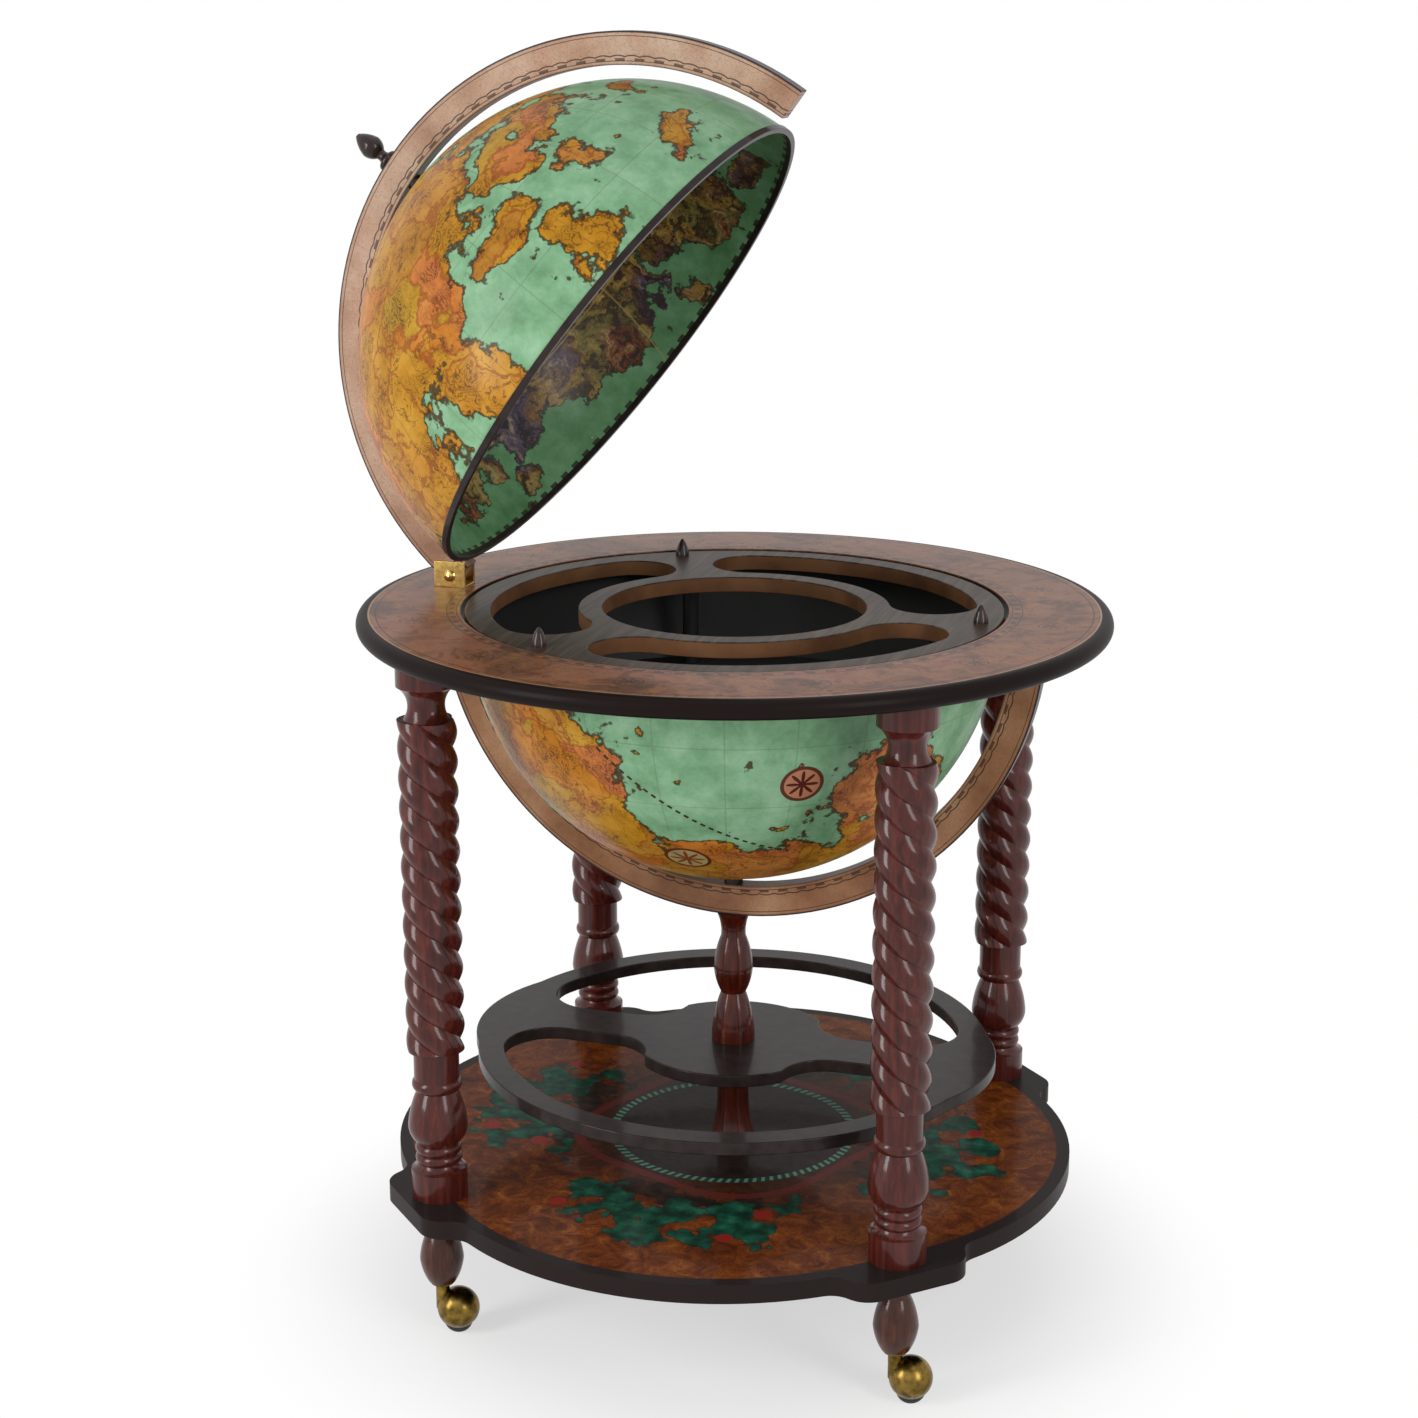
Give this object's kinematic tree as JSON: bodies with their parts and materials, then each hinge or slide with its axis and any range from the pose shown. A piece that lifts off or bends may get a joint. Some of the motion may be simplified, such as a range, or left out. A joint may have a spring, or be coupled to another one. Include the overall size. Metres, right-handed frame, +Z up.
{
  "type": "floor globe bar",
  "caption": "Globe on a legged stand with casters, whose upper half swings open on a hinge to show wells for bottles and glasses above a gallery shelf and base shelf.",
  "frame": {"origin": "on the floor, on the axis of the column", "axes": "+Z up, -X towards the lid's hinge, -Y towards the viewer"},
  "size_m": [0.7458, 0.7052, 1.1955],
  "materials": {
    "leg_mahogany": "lacquered turned mahogany-stained wood",
    "column_mahogany": "lacquered turned red-brown wood",
    "foot_walnut": "lacquered turned dark walnut",
    "shelf_board": "dark lacquered board with a printed top",
    "ring_print": "printed and varnished board with a dark edge",
    "meridian_print": "printed and varnished board with dark edges",
    "globe_print": "varnished map print on moulded fibreboard",
    "dark_trim": "dark lacquered trim",
    "board_grain": "grained board, dark stained",
    "floor_black": "black lined board",
    "bright_brass": "polished brass",
    "antique_brass": "antique brass",
    "tread_black": "black tread",
    "fixing_steel": "plain steel",
    "dowel_beech": "plain beech"
  },
  "bodies": {
    "stand": {"base_shelf": "shelf_board", "board_knobs": "dark_trim", "bowl": "globe_print", "bowl_screw": "fixing_steel", "bowl_spacer": "dark_trim", "caster_socket_back_left": "antique_brass", "caster_socket_back_right": "antique_brass", "caster_socket_front_left": "antique_brass", "caster_socket_front_right": "antique_brass", "column_lower": "column_mahogany", "column_rod": "fixing_steel", "column_upper": "column_mahogany", "compartment_board": "board_grain", "compartment_floor": "floor_black", "compartment_posts": "floor_black", "foot_back_left": "foot_walnut", "foot_back_right": "foot_walnut", "foot_front_left": "foot_walnut", "foot_front_right": "foot_walnut", "foot_studs": "fixing_steel", "gallery_shelf": "shelf_board", "hinge_bracket": "bright_brass", "hinge_pin": "bright_brass", "hinge_screws": "bright_brass", "leg_back_left": "leg_mahogany", "leg_back_right": "leg_mahogany", "leg_dowels": "dowel_beech", "leg_front_left": "leg_mahogany", "leg_front_right": "leg_mahogany", "lower_meridian": "meridian_print", "meridian_dowels": "dowel_beech", "table_ring_1": "ring_print", "table_ring_2": "ring_print", "table_ring_3": "ring_print", "table_ring_4": "ring_print", "table_ring_5": "ring_print", "table_ring_6": "ring_print", "table_ring_7": "ring_print", "table_ring_8": "ring_print"},
    "lid_arm": {"upper_meridian": "meridian_print", "pole_finial": "dark_trim", "pole_pin": "fixing_steel", "pole_spacer": "dark_trim", "pole_nut": "fixing_steel"},
    "lid": {"lid_shell": "globe_print", "lid_rim": "dark_trim", "lid_boss": "dark_trim"},
    "caster_swivel_back_right": {"caster_hood_back_right": "antique_brass", "caster_axle_back_right": "fixing_steel"},
    "caster_roller_back_right": {"caster_wheel_back_right": "tread_black"},
    "caster_swivel_back_left": {"caster_hood_back_left": "antique_brass", "caster_axle_back_left": "fixing_steel"},
    "caster_roller_back_left": {"caster_wheel_back_left": "tread_black"},
    "caster_swivel_front_left": {"caster_hood_front_left": "antique_brass", "caster_axle_front_left": "fixing_steel"},
    "caster_roller_front_left": {"caster_wheel_front_left": "tread_black"},
    "caster_swivel_front_right": {"caster_hood_front_right": "antique_brass", "caster_axle_front_right": "fixing_steel"},
    "caster_roller_front_right": {"caster_wheel_front_right": "tread_black"}
  },
  "joints": [
    {"name": "lid_hinge", "type": "hinge", "parent": "stand", "child": "lid_arm", "pos_m": [-0.283, 0, 0.6857], "axis": [0, 1, 0], "range_deg": [0, 54]},
    {"name": "lid_spin", "type": "hinge", "parent": "lid_arm", "child": "lid", "pos_m": [-0.10129, 0, 0.90348], "axis": [-0.809, 0, 0.5878], "continuous": true},
    {"name": "caster_swivel_back_right", "type": "hinge", "parent": "stand", "child": "caster_swivel_back_right", "pos_m": [0.21991, 0.21991, 0.05], "axis": [0, 0, 1], "continuous": true},
    {"name": "caster_roll_back_right", "type": "hinge", "parent": "caster_swivel_back_right", "child": "caster_roller_back_right", "pos_m": [0.23374, 0.22427, 0.0135], "axis": [-0.3007, 0.9537, 0], "continuous": true},
    {"name": "caster_swivel_back_left", "type": "hinge", "parent": "stand", "child": "caster_swivel_back_left", "pos_m": [-0.21991, 0.21991, 0.05], "axis": [0, 0, 1], "continuous": true},
    {"name": "caster_roll_back_left", "type": "hinge", "parent": "caster_swivel_back_left", "child": "caster_roller_back_left", "pos_m": [-0.20608, 0.22427, 0.0135], "axis": [-0.3007, 0.9537, 0], "continuous": true},
    {"name": "caster_swivel_front_left", "type": "hinge", "parent": "stand", "child": "caster_swivel_front_left", "pos_m": [-0.21991, -0.21991, 0.05], "axis": [0, 0, 1], "continuous": true},
    {"name": "caster_roll_front_left", "type": "hinge", "parent": "caster_swivel_front_left", "child": "caster_roller_front_left", "pos_m": [-0.20608, -0.21555, 0.0135], "axis": [-0.3007, 0.9537, 0], "continuous": true},
    {"name": "caster_swivel_front_right", "type": "hinge", "parent": "stand", "child": "caster_swivel_front_right", "pos_m": [0.21991, -0.21991, 0.05], "axis": [0, 0, 1], "continuous": true},
    {"name": "caster_roll_front_right", "type": "hinge", "parent": "caster_swivel_front_right", "child": "caster_roller_front_right", "pos_m": [0.23374, -0.21555, 0.0135], "axis": [-0.3007, 0.9537, 0], "continuous": true}
  ]
}
